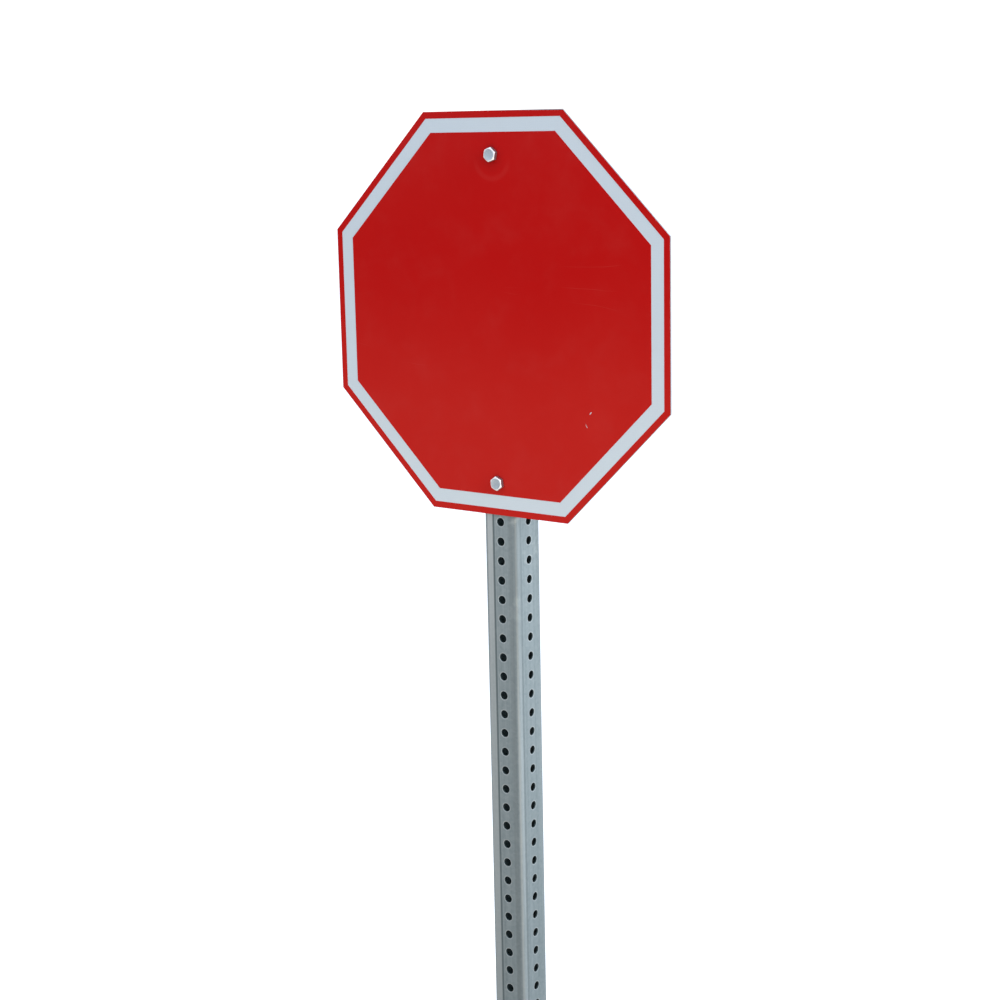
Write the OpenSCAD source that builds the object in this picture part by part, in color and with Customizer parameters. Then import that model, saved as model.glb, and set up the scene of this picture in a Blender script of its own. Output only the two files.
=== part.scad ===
// Octagonal road sign on a perforated square post that stands in a ground sleeve.
// Millimetres. The origin is on the post's axis at ground level: +Z is up and the sign faces -Y.

/* [Post] */
// Width of the square post across its flats
post_w = 50.8; // [38:0.1:64]
// Wall thickness of the post
post_wall = 1.9; // [1.5:0.1:4]
// Outside corner radius of the post
post_corner_r = 4.8; // [3:0.1:8]
// Number of hole pitches along the post
post_pitches = 72; // [48:1:120]
// Number of hole pitches that the post reaches into the ground sleeve
insert_pitches = 12; // [6:1:16]

/* [Perforation] */
// Distance between hole centres along the post and the sleeve
hole_pitch = 25.4; // [20:0.1:32]
// Diameter of the holes in the post and the sleeve
hole_d = 11.1; // [9:0.1:14]

/* [Ground sleeve] */
// Number of hole pitches along the sleeve
sleeve_pitches = 24; // [18:1:36]
// Number of hole pitches that the sleeve stands above the ground
sleeve_up_pitches = 2; // [1:1:4]
// Wall thickness of the sleeve
sleeve_wall = 2.7; // [2:0.1:4]
// Gap between the post and the sleeve on each side
sleeve_gap = 0.5; // [0.3:0.1:1.5]

/* [Sign plate] */
// Width of the octagon across its flats
sign_w = 500; // [300:10:900]
// Thickness of the aluminium blank
blank_t = 2; // [1.5:0.1:4]
// Thickness of the white reflective sheeting
sheeting_t = 0.4; // [0.2:0.1:0.6]
// Thickness of the red film on top of the sheeting
film_t = 0.2; // [0.1:0.05:0.4]
// Width of the red band along the edge of the plate
edge_band_w = 8.3; // [4:0.1:15]
// Width of the white border inside the red band
border_w = 17.2; // [10:0.1:24]

/* [Sign bolts] */
// Distance from the plate's top edge down to the upper bolt
top_inset = 52.5; // [45:0.5:80]
// Least distance from the lower bolt to the plate's bottom edge
bottom_inset = 38; // [36:0.5:80]
// Number of hole pitches that stay free above the upper bolt
free_pitches_above = 1; // [0:1:4]

/* [Fasteners] */
// Play of a bolt in its hole, across the diameter
bolt_play = 1.1; // [0.5:0.1:2]
// Width across flats of the bolt heads and the nuts
hex_w = 16; // [15.5:0.5:22]
// Height of a bolt head
head_h = 6.4; // [5:0.1:8]
// Thickness of a nut
nut_h = 8.4; // [6.5:0.1:10]
// Length of thread that shows past a nut
thread_past_nut = 4; // [2:0.5:12]
// Outside diameter of a flat washer
washer_d = 20; // [17:0.5:26]
// Thickness of a flat washer
washer_t = 2; // [1:0.1:3]
// Play of a flat washer on its bolt, across the diameter
washer_play = 0.5; // [0.2:0.1:1]
// Width of the ring of a spring washer
spring_ring_w = 4; // [2.5:0.1:4.5]
// Thickness of a spring washer
spring_t = 2.2; // [1.5:0.1:3]
// Width of the slit through a spring washer
spring_slit = 1.2; // [0.5:0.1:2]
// Play of a nut or a spring washer on its bolt, across the diameter
thread_play = 0.1; // [0.04:0.02:0.2]

/* [Hidden] */

// Cutters run this far past the faces that they cut
past = 1;

// Heights: the post goes into the sleeve from its top, so that the holes of the two line up
sleeve_top = sleeve_up_pitches * hole_pitch;
sleeve_bottom = sleeve_top - sleeve_pitches * hole_pitch;
post_bottom = sleeve_top - insert_pitches * hole_pitch;
post_top = post_bottom + post_pitches * hole_pitch;
anchor_bolt_z = sleeve_top - hole_pitch / 2;

// The two sign bolts go through post holes as far apart as the plate allows
bolt_pitches = floor((sign_w - top_inset - bottom_inset) / hole_pitch);
upper_bolt_z = post_top - (free_pitches_above + 0.5) * hole_pitch;
lower_bolt_z = upper_bolt_z - bolt_pitches * hole_pitch;
sign_z = upper_bolt_z + top_inset - sign_w / 2;

// Depths: the blank lies on the post's front face, and each layer on the one behind it
post_front_y = -post_w / 2;
blank_front_y = post_front_y - blank_t;
sheeting_front_y = blank_front_y - sheeting_t;
film_front_y = sheeting_front_y - film_t;

// The sleeve wraps the post with an even gap, round its corners too
post_inner_w = post_w - 2 * post_wall;
post_inner_r = max(post_corner_r - post_wall, 0.5);
sleeve_inner_w = post_w + 2 * sleeve_gap;
sleeve_inner_r = post_corner_r + sleeve_gap;
sleeve_w = sleeve_inner_w + 2 * sleeve_wall;
sleeve_corner_r = sleeve_inner_r + sleeve_wall;

// Bolts fit the holes; nuts, washers and spring washers fit the bolts
bolt_d = hole_d - bolt_play;
thread_hole_d = bolt_d + thread_play;
washer_hole_d = bolt_d + washer_play;
spring_d = thread_hole_d + 2 * spring_ring_w;
shank_chamfer = 1;

// The corners of heads and nuts are turned down to a 30 degree cone, which starts just inside the flats
hex_corner_d = hex_w / cos(30);
chamfer_circle_d = hex_w - 0.8;
chamfer_angle = 30;

// What each bolt clamps, from under its head to the face of its nut
sign_grip = film_t + sheeting_t + blank_t + post_w + washer_t + spring_t;
anchor_grip = washer_t + sleeve_w + washer_t + spring_t;

// How far each head, spring washer and nut has turned, in the order upper, lower, anchor
head_turns = [19, 36, 8];
spring_turns = [70, 205, 130];
nut_turns = [12, 41, 27];

galvanised = "#96a3a6";
zinc_plate = "#c5cdd2";
sign_red = "#b3170f";
sign_white = "#c6d0da";
bare_aluminium = "#b9bcbf";

// ---- shared shapes ----

module rounded_square(w, r) {
    square([w - 2 * r, w], center = true);
    square([w, w - 2 * r], center = true);
    for (x = [-1, 1], y = [-1, 1])
        translate([x * (w / 2 - r), y * (w / 2 - r)]) circle(r = r, $fn = 48);
}

// A square tube on z = 0, with a hole at half a pitch and then at every pitch, on all four faces
module perforated_tube(w, r, inner_w, inner_r, pitches) {
    length = pitches * hole_pitch;
    difference() {
        linear_extrude(length) rounded_square(w, r);
        translate([0, 0, -past]) linear_extrude(length + 2 * past) rounded_square(inner_w, inner_r);
        for (i = [0 : pitches - 1], turn = [0, 90])
            translate([0, 0, (i + 0.5) * hole_pitch]) rotate([90, 0, turn])
                cylinder(d = hole_d, h = w + 2 * past, center = true, $fn = 48);
    }
}

// An octagonal layer on z = 0, w across its flats, with flats at the top, the bottom and both sides
module octagon(w, h) {
    rotate([0, 0, 22.5]) cylinder(d = w / cos(22.5), h = h, $fn = 8);
}

// The holes for both sign bolts through a layer of thickness h, which is centred on the plate
module sign_bolt_holes(h) {
    for (z = [upper_bolt_z, lower_bolt_z])
        translate([0, z - sign_z, -past]) cylinder(d = hole_d, h = h + 2 * past, $fn = 48);
}

// A hexagonal prism on z = 0 with its upper corners turned down, and its lower ones too on a nut
module chamfered_hex(h, both_ends) {
    cone_h = chamfer_circle_d / 2 * tan(chamfer_angle) + h;
    cone_r = cone_h / tan(chamfer_angle);
    intersection() {
        cylinder(d = hex_corner_d, h = h, $fn = 6);
        cylinder(r1 = cone_r, r2 = 0, h = cone_h);
        if (both_ends)
            translate([0, 0, h - cone_h]) cylinder(r1 = 0, r2 = cone_r, h = cone_h);
    }
}

// A bolt whose head sits on z = 0, with its shank pointing down
module hex_bolt(shank, turn) {
    rotate([0, 0, turn]) chamfered_hex(head_h, false);
    translate([0, 0, shank_chamfer - shank]) cylinder(d = bolt_d, h = shank - shank_chamfer, $fn = 48);
    translate([0, 0, -shank])
        cylinder(d1 = bolt_d - 2 * shank_chamfer, d2 = bolt_d, h = shank_chamfer, $fn = 48);
}

module ring(outer_d, inner_d, h) {
    difference() {
        cylinder(d = outer_d, h = h, $fn = 48);
        translate([0, 0, -past]) cylinder(d = inner_d, h = h + 2 * past, $fn = 48);
    }
}

module hex_nut(turn) {
    difference() {
        rotate([0, 0, turn]) chamfered_hex(nut_h, true);
        translate([0, 0, -past]) cylinder(d = thread_hole_d, h = nut_h + 2 * past, $fn = 48);
    }
}

module flat_washer() {
    ring(washer_d, washer_hole_d, washer_t);
}

module spring_washer(turn) {
    rotate([0, 0, turn]) difference() {
        ring(spring_d, thread_hole_d, spring_t);
        translate([0, -spring_slit / 2, -past]) cube([spring_d, spring_slit, spring_t + 2 * past]);
    }
}

// ---- places ----

// Turns the children's +Z to face forwards, at depth y and height z
module forwards(y, z) {
    translate([0, y, z]) rotate([90, 0, 0]) children();
}

// Turns the children's +Z to face backwards, at depth y and height z
module backwards(y, z) {
    translate([0, y, z]) rotate([-90, 0, 0]) children();
}

// ---- post and sleeve ----

module post() {
    color(galvanised) translate([0, 0, post_bottom])
        perforated_tube(post_w, post_corner_r, post_inner_w, post_inner_r, post_pitches);
}

module anchor_sleeve() {
    color(galvanised) translate([0, 0, sleeve_bottom])
        perforated_tube(sleeve_w, sleeve_corner_r, sleeve_inner_w, sleeve_inner_r, sleeve_pitches);
}

// ---- sign plate and its films ----

module sign_blank() {
    color(bare_aluminium) forwards(post_front_y, sign_z) difference() {
        octagon(sign_w, blank_t);
        sign_bolt_holes(blank_t);
    }
}

module white_sheeting() {
    color(sign_white) forwards(blank_front_y, sign_z) difference() {
        octagon(sign_w, sheeting_t);
        sign_bolt_holes(sheeting_t);
    }
}

module red_field_film() {
    color(sign_red) forwards(sheeting_front_y, sign_z) difference() {
        octagon(sign_w - 2 * (edge_band_w + border_w), film_t);
        sign_bolt_holes(film_t);
    }
}

module red_edge_film() {
    color(sign_red) forwards(sheeting_front_y, sign_z) difference() {
        octagon(sign_w, film_t);
        translate([0, 0, -past]) octagon(sign_w - 2 * edge_band_w, film_t + 2 * past);
    }
}

// ---- fasteners: two sets clamp the plate to the post, and one set the post to the sleeve ----

module sign_bolt(z, turn) {
    color(zinc_plate) forwards(film_front_y, z) hex_bolt(sign_grip + nut_h + thread_past_nut, turn);
}

module set_flat_washer(y, z) {
    color(zinc_plate) backwards(y, z) flat_washer();
}

module set_spring_washer(y, z, turn) {
    color(zinc_plate) backwards(y + washer_t, z) spring_washer(turn);
}

module set_nut(y, z, turn) {
    color(zinc_plate) backwards(y + washer_t + spring_t, z) hex_nut(turn);
}

module upper_bolt() { sign_bolt(upper_bolt_z, head_turns[0]); }
module upper_flat_washer() { set_flat_washer(post_w / 2, upper_bolt_z); }
module upper_spring_washer() { set_spring_washer(post_w / 2, upper_bolt_z, spring_turns[0]); }
module upper_nut() { set_nut(post_w / 2, upper_bolt_z, nut_turns[0]); }

module lower_bolt() { sign_bolt(lower_bolt_z, head_turns[1]); }
module lower_flat_washer() { set_flat_washer(post_w / 2, lower_bolt_z); }
module lower_spring_washer() { set_spring_washer(post_w / 2, lower_bolt_z, spring_turns[1]); }
module lower_nut() { set_nut(post_w / 2, lower_bolt_z, nut_turns[1]); }

module anchor_bolt() {
    color(zinc_plate) forwards(-sleeve_w / 2 - washer_t, anchor_bolt_z)
        hex_bolt(anchor_grip + nut_h + thread_past_nut, head_turns[2]);
}
module anchor_head_washer() { color(zinc_plate) forwards(-sleeve_w / 2, anchor_bolt_z) flat_washer(); }
module anchor_nut_washer() { set_flat_washer(sleeve_w / 2, anchor_bolt_z); }
module anchor_spring_washer() { set_spring_washer(sleeve_w / 2, anchor_bolt_z, spring_turns[2]); }
module anchor_nut() { set_nut(sleeve_w / 2, anchor_bolt_z, nut_turns[2]); }

post();
anchor_sleeve();
sign_blank();
white_sheeting();
red_field_film();
red_edge_film();
upper_bolt();
upper_flat_washer();
upper_spring_washer();
upper_nut();
lower_bolt();
lower_flat_washer();
lower_spring_washer();
lower_nut();
anchor_bolt();
anchor_head_washer();
anchor_nut_washer();
anchor_spring_washer();
anchor_nut();
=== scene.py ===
# %% [markdown]
# # A road sign on a perforated steel post
#
# The real object is an octagonal aluminium plate with reflective film on its face. Two hexagon bolts
# hold it against a square steel tube that is punched with holes on all four sides, and the tube stands
# in a wider sleeve of the same kind, which is sunk in the ground. The sizes and places were settled in
# the CAD model, so this script starts from that model and only adds what makes it look real: rolled
# hole edges, cut threads, film layers, and metal and film finishes. The face carries no lettering: its
# middle is left plain, so the part can be used as a blank or given a message of its own.

import math

import bmesh
import bpy
from mathutils import Matrix, Vector


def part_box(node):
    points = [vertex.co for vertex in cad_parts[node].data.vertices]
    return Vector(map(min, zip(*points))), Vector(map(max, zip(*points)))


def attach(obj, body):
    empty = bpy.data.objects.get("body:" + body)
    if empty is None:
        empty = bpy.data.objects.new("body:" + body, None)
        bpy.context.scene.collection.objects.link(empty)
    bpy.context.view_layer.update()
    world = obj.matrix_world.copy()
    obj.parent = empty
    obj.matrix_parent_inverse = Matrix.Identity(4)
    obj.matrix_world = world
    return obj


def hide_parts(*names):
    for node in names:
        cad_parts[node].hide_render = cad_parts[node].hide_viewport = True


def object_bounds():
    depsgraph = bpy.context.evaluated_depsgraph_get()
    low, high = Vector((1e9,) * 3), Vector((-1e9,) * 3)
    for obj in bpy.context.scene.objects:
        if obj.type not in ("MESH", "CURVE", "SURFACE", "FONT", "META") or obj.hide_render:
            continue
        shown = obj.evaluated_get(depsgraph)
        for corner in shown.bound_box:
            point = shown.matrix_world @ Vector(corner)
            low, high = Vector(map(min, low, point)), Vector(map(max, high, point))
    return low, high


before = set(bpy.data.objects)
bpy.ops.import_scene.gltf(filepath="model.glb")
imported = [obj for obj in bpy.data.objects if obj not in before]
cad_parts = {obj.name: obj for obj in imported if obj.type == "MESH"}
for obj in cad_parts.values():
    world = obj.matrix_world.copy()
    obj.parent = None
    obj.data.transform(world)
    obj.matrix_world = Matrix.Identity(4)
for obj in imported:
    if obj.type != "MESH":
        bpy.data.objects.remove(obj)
cad_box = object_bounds()
MM = 0.001
print("CAD box", [[round(v, 4) for v in corner] for corner in cad_box])

# %% [markdown]
# The camera comes first, because every later choice is judged through it. It stands to the right of
# the sign, a little above the middle of the plate, and looks slightly down. A direction and a roll
# describe that better than a target, since the post leans a little in the frame. The lens is long
# enough that the far side of the plate looks only a little smaller than the near side.

# %% Camera
CAMERA_PLACE = Vector((1342.8, -1888.5, 1577.4)) * MM
CAMERA_AZIMUTH, CAMERA_ELEVATION, CAMERA_ROLL = (math.radians(a) for a in (-35.782, -11.549, -1.193))
CAMERA_LENS = 66.91


def camera_axes(azimuth, elevation, roll):
    """The camera's right, up and backward directions"""
    ahead = Vector((math.sin(azimuth) * math.cos(elevation), math.cos(azimuth) * math.cos(elevation),
                    math.sin(elevation)))
    level = Vector((math.cos(azimuth), -math.sin(azimuth), 0))
    upright = level.cross(ahead)
    right = level * math.cos(roll) + upright * math.sin(roll)
    up = upright * math.cos(roll) - level * math.sin(roll)
    return right, up, -ahead


camera_data = bpy.data.cameras.new("camera")
camera_data.lens = CAMERA_LENS
camera_data.sensor_width = 36
camera_data.clip_start, camera_data.clip_end = 0.05, 300
camera = bpy.data.objects.new("camera", camera_data)
turn = Matrix(camera_axes(CAMERA_AZIMUTH, CAMERA_ELEVATION, CAMERA_ROLL)).transposed().to_4x4()
camera.matrix_world = Matrix.Translation(CAMERA_PLACE) @ turn
bpy.context.scene.collection.objects.link(camera)
bpy.context.scene.camera = camera
print("camera", [round(v, 3) for v in camera.location], "lens", camera_data.lens)

# %% [markdown]
# The studio is a plain pale floor under an overcast sky. Metal and glossy film show what stands around
# them, so the surroundings that reflections see matter as much as the lamps: outdoors that is a pale
# sky above darker ground. The Light Path node lets the floor and the sky look white to the camera while
# they light the object like that.

# %% Node helpers
def add(tree, kind, inputs=None, **settings):
    """Adds a node; each input gets a value, or a link when it is given another node's output"""
    made = tree.nodes.new(kind)
    for name, value in settings.items():
        setattr(made, name, value)
    for name, value in (inputs or {}).items():
        if isinstance(value, bpy.types.NodeSocket):
            tree.links.new(value, made.inputs[name])
        else:
            made.inputs[name].default_value = value
    return made


def calc(tree, operation, *values):
    """The output of a Math node"""
    return add(tree, "ShaderNodeMath", dict(enumerate(values)), operation=operation).outputs[0]


def remap(tree, value, low, high, to_low=0.0, to_high=1.0, smooth=False):
    """Maps low..high to to_low..to_high and stops at both ends"""
    node = add(tree, "ShaderNodeMapRange", {"Value": value, "From Min": low, "From Max": high,
                                            "To Min": to_low, "To Max": to_high},
               interpolation_type="SMOOTHSTEP" if smooth else "LINEAR")
    return node.outputs["Result"]


def blend(tree, factor, first, second):
    """A colour between first and second"""
    node = add(tree, "ShaderNodeMix", {0: factor, 6: first, 7: second}, data_type="RGBA")
    return node.outputs[2]


def grey(value):
    return (value, value, value, 1)


print("node helpers ready")

# %% Sky
SKY_WHITE = (1.0, 1.0, 1.0, 1)
SKY_ZENITH = (0.80, 0.92, 1.08, 1)
SKY_HORIZON = (0.44, 0.50, 0.57, 1)
world = bpy.data.worlds.new("overcast_sky")
bpy.context.scene.world = world
world.use_nodes = True
sky = world.node_tree
sky.nodes.clear()
direction = add(sky, "ShaderNodeTexCoord").outputs["Generated"]
height = add(sky, "ShaderNodeSeparateXYZ", {0: direction}).outputs["Z"]
sky_colour = blend(sky, remap(sky, height, 0.0, 0.55, smooth=True), SKY_HORIZON, SKY_ZENITH)
lighting = add(sky, "ShaderNodeBackground", {"Color": sky_colour, "Strength": 1.0})
backdrop = add(sky, "ShaderNodeBackground", {"Color": SKY_WHITE, "Strength": 1.3})
seen = add(sky, "ShaderNodeLightPath").outputs["Is Camera Ray"]
either = add(sky, "ShaderNodeMixShader", {0: seen, 1: lighting.outputs[0], 2: backdrop.outputs[0]})
add(sky, "ShaderNodeOutputWorld", {"Surface": either.outputs[0]})
bpy.context.scene.view_settings.view_transform = "Standard"
print("sky", len(sky.nodes), "nodes")

# %% Floor
FLOOR_RADIUS = 90.0
FLOOR_SIDES = 96
FLOOR_Z = cad_box[0].z
floor_material = bpy.data.materials.new("pale_floor")
floor_material.use_nodes = True
tree = floor_material.node_tree
tree.nodes.clear()
place = add(tree, "ShaderNodeTexCoord").outputs["Object"]
far_off = add(tree, "ShaderNodeVectorMath", {0: place}, operation="LENGTH").outputs["Value"]
GROUND_NEAR = (0.46, 0.43, 0.38, 1)
GROUND_FAR = (0.24, 0.25, 0.24, 1)
ground = blend(tree, remap(tree, far_off, 4.0, 12.0, smooth=True), GROUND_NEAR, GROUND_FAR)
dark = add(tree, "ShaderNodeBsdfDiffuse", {"Color": ground})
pale = add(tree, "ShaderNodeBsdfDiffuse", {"Color": grey(0.9)})
glow = add(tree, "ShaderNodeEmission", {"Color": grey(1), "Strength": 0.42})
bright = add(tree, "ShaderNodeAddShader", {0: pale.outputs[0], 1: glow.outputs[0]})
seen = add(tree, "ShaderNodeLightPath").outputs["Is Camera Ray"]
either = add(tree, "ShaderNodeMixShader", {0: seen, 1: dark.outputs[0], 2: bright.outputs[0]})
add(tree, "ShaderNodeOutputMaterial", {"Surface": either.outputs[0]})
floor_mesh = bpy.data.meshes.new("floor")
rim_angles = [i * math.tau / FLOOR_SIDES for i in range(FLOOR_SIDES)]
rim = [(FLOOR_RADIUS * math.cos(a), FLOOR_RADIUS * math.sin(a), FLOOR_Z) for a in rim_angles]
floor_mesh.from_pydata(rim, [], [list(range(FLOOR_SIDES))])
floor = bpy.data.objects.new("floor", floor_mesh)
floor.data.materials.append(floor_material)
bpy.context.scene.collection.objects.link(floor)
print("floor at", round(FLOOR_Z, 4))

# %% Soft boxes
SIGN_MIDDLE = Vector((0, 0, 1.2))


def soft_box(name, place, size, watts, colour=(1, 1, 1), target=SIGN_MIDDLE):
    """A square area light that points at the target"""
    light = bpy.data.lights.new(name, "AREA")
    light.size, light.energy, light.color = size, watts, colour
    lamp = bpy.data.objects.new(name, light)
    lamp.location = place
    lamp.rotation_euler = (Vector(target) - Vector(place)).to_track_quat("-Z", "Y").to_euler()
    lamp.visible_camera = False
    bpy.context.scene.collection.objects.link(lamp)
    return lamp


soft_box("front_soft_box", (-0.8, -3.6, 4.4), 3.0, 13, (0.97, 0.985, 1.0))
soft_box("low_soft_box", (0.5, -2.7, 0.0), 1.8, 26, (1.0, 0.80, 0.58), target=(0, 0, 1.0))
soft_box("right_soft_box", (4.0, 0.2, 2.6), 3.6, 208, (0.93, 0.97, 1.0))
soft_box("back_soft_box", (-2.2, 3.6, 3.4), 4.0, 42)

# %% [markdown]
# Several finishes share the same small effects, so each effect is a node group with named inputs:
# long streaks, blotches, zinc crystals and thin scratches. A group gives only a mask or a value. What it
# does to the colour or the gloss is decided in each material, next to its shader.

# %% Shared surface effects
def effect(name, sockets):
    """An empty shader group with a Vector input, the named float inputs and one Value output"""
    group = bpy.data.node_groups.new(name, "ShaderNodeTree")
    group.interface.new_socket("Vector", in_out="INPUT", socket_type="NodeSocketVector")
    for label, value in sockets.items():
        group.interface.new_socket(label, in_out="INPUT", socket_type="NodeSocketFloat").default_value = value
    group.interface.new_socket("Value", in_out="OUTPUT", socket_type="NodeSocketFloat")
    return group, add(group, "NodeGroupInput").outputs


def finish_effect(group, value):
    add(group, "NodeGroupOutput", {"Value": value})
    print("effect", group.name, "with", len(group.nodes), "nodes")
    return group


# Streaks: noise that is squeezed across the piece and drawn out along it
streaks, given = effect("streaks", {"Across": 200.0, "Along": 4.0, "Detail": 3.0})
stretch = add(streaks, "ShaderNodeCombineXYZ", {0: given["Across"], 1: given["Across"], 2: given["Along"]})
drawn = add(streaks, "ShaderNodeVectorMath", {0: given["Vector"], 1: stretch.outputs[0]},
            operation="MULTIPLY")
noise = add(streaks, "ShaderNodeTexNoise", {"Vector": drawn.outputs[0], "Scale": 1.0,
                                            "Detail": given["Detail"], "Roughness": 0.6})
finish_effect(streaks, noise.outputs["Fac"])

# Blotches: a noise that is cut at a level, so that Cover says how much of the surface they take
blotches, given = effect("blotches", {"Scale": 20.0, "Cover": 0.4, "Softness": 0.1})
noise = add(blotches, "ShaderNodeTexNoise", {"Vector": given["Vector"], "Scale": given["Scale"],
                                             "Detail": 6.0, "Roughness": 0.62, "Distortion": 0.3})
level = calc(blotches, "SUBTRACT", 1.0, given["Cover"])
low = calc(blotches, "SUBTRACT", level, given["Softness"])
high = calc(blotches, "ADD", level, given["Softness"])
finish_effect(blotches, remap(blotches, noise.outputs["Fac"], low, high, smooth=True))

# Crystals: cells of slightly different brightness, as zinc sets on steel
crystals, given = effect("crystals", {"Scale": 120.0, "Mix": 0.5})
cells = add(crystals, "ShaderNodeTexVoronoi", {"Vector": given["Vector"], "Scale": given["Scale"]},
            feature="F1")
tone = add(crystals, "ShaderNodeSeparateColor", {0: cells.outputs["Color"]}).outputs[0]
soft = add(crystals, "ShaderNodeTexNoise", {"Vector": given["Vector"], "Scale": given["Scale"],
                                            "Detail": 5.0})
both = add(crystals, "ShaderNodeMix", {0: given["Mix"], 2: soft.outputs["Fac"], 3: tone}, data_type="FLOAT")
finish_effect(crystals, both.outputs[0])

# Scratches: the thin borders between cells that are drawn out long, broken up by a noise
scratches, given = effect("scratches", {"Scale": 30.0, "Width": 0.02, "Cover": 0.35})
bend = add(scratches, "ShaderNodeTexNoise", {"Vector": given["Vector"], "Scale": 14.0, "Detail": 2.0})
shift = add(scratches, "ShaderNodeVectorMath", {0: bend.outputs["Color"], 3: 0.01}, operation="SCALE")
moved = add(scratches, "ShaderNodeVectorMath", {0: given["Vector"], 1: shift.outputs[0]}, operation="ADD")
bent = add(scratches, "ShaderNodeMapping", {"Vector": moved.outputs[0], "Rotation": (0, math.radians(38), 0),
                                            "Scale": (0.10, 0.6, 1.0)})
edges = add(scratches, "ShaderNodeTexVoronoi", {"Vector": bent.outputs[0], "Scale": given["Scale"]},
            feature="DISTANCE_TO_EDGE")
line = remap(scratches, edges.outputs["Distance"], 0.0, given["Width"], 1.0, 0.0)
gate = add(scratches, "ShaderNodeTexNoise", {"Vector": given["Vector"], "Scale": 9.0, "Detail": 2.0})
open_gate = remap(scratches, gate.outputs["Fac"], calc(scratches, "SUBTRACT", 0.9, given["Cover"]), 0.85)
finish_effect(scratches, calc(scratches, "MULTIPLY", line, open_gate))


# %% Material helpers
def material(name):
    """A material with one Principled BSDF; also gives its tree, its shader and its object coordinates"""
    made = bpy.data.materials.new(name)
    made.use_nodes = True
    tree = made.node_tree
    shader = tree.nodes["Principled BSDF"]
    place = add(tree, "ShaderNodeTexCoord").outputs["Object"]
    return made, tree, shader, place


def use(tree, group, vector, **values):
    """The value of a shared effect at that vector"""
    return add(tree, "ShaderNodeGroup", {"Vector": vector} | values, node_tree=group).outputs["Value"]


def plug(tree, shader, **sockets):
    """Links or sets the shader's sockets, written with _ for spaces"""
    for name, value in sockets.items():
        socket = shader.inputs[name.replace("_", " ")]
        if isinstance(value, bpy.types.NodeSocket):
            tree.links.new(value, socket)
        else:
            socket.default_value = value


def bump(tree, shader, height, distance, strength=1.0):
    """A Bump node on the shader, with its height in metres times distance"""
    node = add(tree, "ShaderNodeBump", {"Height": height, "Distance": distance, "Strength": strength})
    tree.links.new(node.outputs["Normal"], shader.inputs["Normal"])


print("material helpers ready")

# %% [markdown]
# The post and the sleeve are galvanised steel strip, rolled to a square tube, welded along one line and
# punched. Rolling leaves long streaks and bands, and the zinc sets in small crystals. A thin light ring
# round every hole is a painted highlight, where the punched edge catches light. The bands and the weld
# line are placed across the width, the rings are found from the distance to the nearest hole's axis. The
# dark weld line is partly the seam and partly its painted shadow, with a painted highlight on the ridge
# beside it; the light band left of the weld is partly lighter zinc and partly painted reflection, stronger
# towards the top; a band near the front corner and a line along the fold on the right face are painted
# shade. The corners get a painted highlight broken by streaks and painted shade near the top, and the
# tube is darker towards the bottom. The inside of the tube and the walls of its holes are marked on their
# faces; they are painted dark as shade and stay dull.

# %% Galvanised steel
HOLE_PITCH = 25.4 * MM
HOLE_R = 11.1 / 2 * MM
post_low, post_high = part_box("post")
POST_HALF = post_high.x
POST_WALL = 1.9 * MM
POST_CORNER_R = 4.8 * MM
WELD_X = -11.2 * MM
SHADE_BAND_X = 15.5 * MM
CORNER_START = POST_HALF - POST_CORNER_R - 0.8 * MM

galvanised, tree, shader, place = material("galvanised_steel")
x, y, z = add(tree, "ShaderNodeSeparateXYZ", {0: place}).outputs
from_start = calc(tree, "SUBTRACT", z, post_low.z)
from_hole = calc(tree, "SUBTRACT", calc(tree, "FLOORED_MODULO", from_start, HOLE_PITCH), HOLE_PITCH / 2)


def axis_distance(tree, across, along):
    flat = add(tree, "ShaderNodeCombineXYZ", {0: across, 1: along})
    return add(tree, "ShaderNodeVectorMath", {0: flat.outputs[0]}, operation="LENGTH").outputs["Value"]


hole_distance = calc(tree, "MINIMUM", axis_distance(tree, x, from_hole), axis_distance(tree, y, from_hole))
corner = calc(tree, "MULTIPLY", remap(tree, calc(tree, "ABSOLUTE", x), CORNER_START, CORNER_START + 1.5 * MM),
              remap(tree, calc(tree, "ABSOLUTE", y), CORNER_START, CORNER_START + 1.5 * MM))
from_fold = calc(tree, "ABSOLUTE", calc(tree, "ADD", y, CORNER_START - 1.2 * MM))
# A line of painted shade along the fold on the right face, just behind the front corner
fold_shade = calc(tree, "MULTIPLY", remap(tree, x, CORNER_START, CORNER_START + 1.5 * MM),
                 remap(tree, from_fold, 0.6 * MM, 2.6 * MM, 1, 0))
# A light ring round every hole: a painted highlight where the punched edge catches light
hole_rim_highlight = remap(tree, hole_distance, HOLE_R + 0.4 * MM, HOLE_R + 1.6 * MM, 1, 0, smooth=True)

inside = add(tree, "ShaderNodeAttribute", attribute_name="inner_side").outputs["Fac"]
front = remap(tree, y, -POST_HALF + POST_CORNER_R, -POST_HALF + 1.2 * POST_CORNER_R, 1, 0)
# The light band left of the weld: partly lighter zinc by the seam, partly painted reflection
seam_side = calc(tree, "MULTIPLY", front, remap(tree, x, WELD_X - 0.6 * MM, WELD_X, 1, 0))
from_weld = calc(tree, "ABSOLUTE", calc(tree, "SUBTRACT", x, WELD_X))
# The dark weld line is partly the seam itself and partly its painted shadow
weld_seam_and_shadow = calc(tree, "MULTIPLY", front, remap(tree, from_weld, 0.7 * MM, 2.3 * MM, 1, 0, smooth=True))
from_ridge = calc(tree, "ABSOLUTE", calc(tree, "SUBTRACT", x, WELD_X + 2.4 * MM))
# A thin painted highlight along the ridge beside the weld
ridge_highlight = calc(tree, "MULTIPLY", front, remap(tree, from_ridge, 0.2 * MM, 0.9 * MM, 1, 0, smooth=True))
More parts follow.
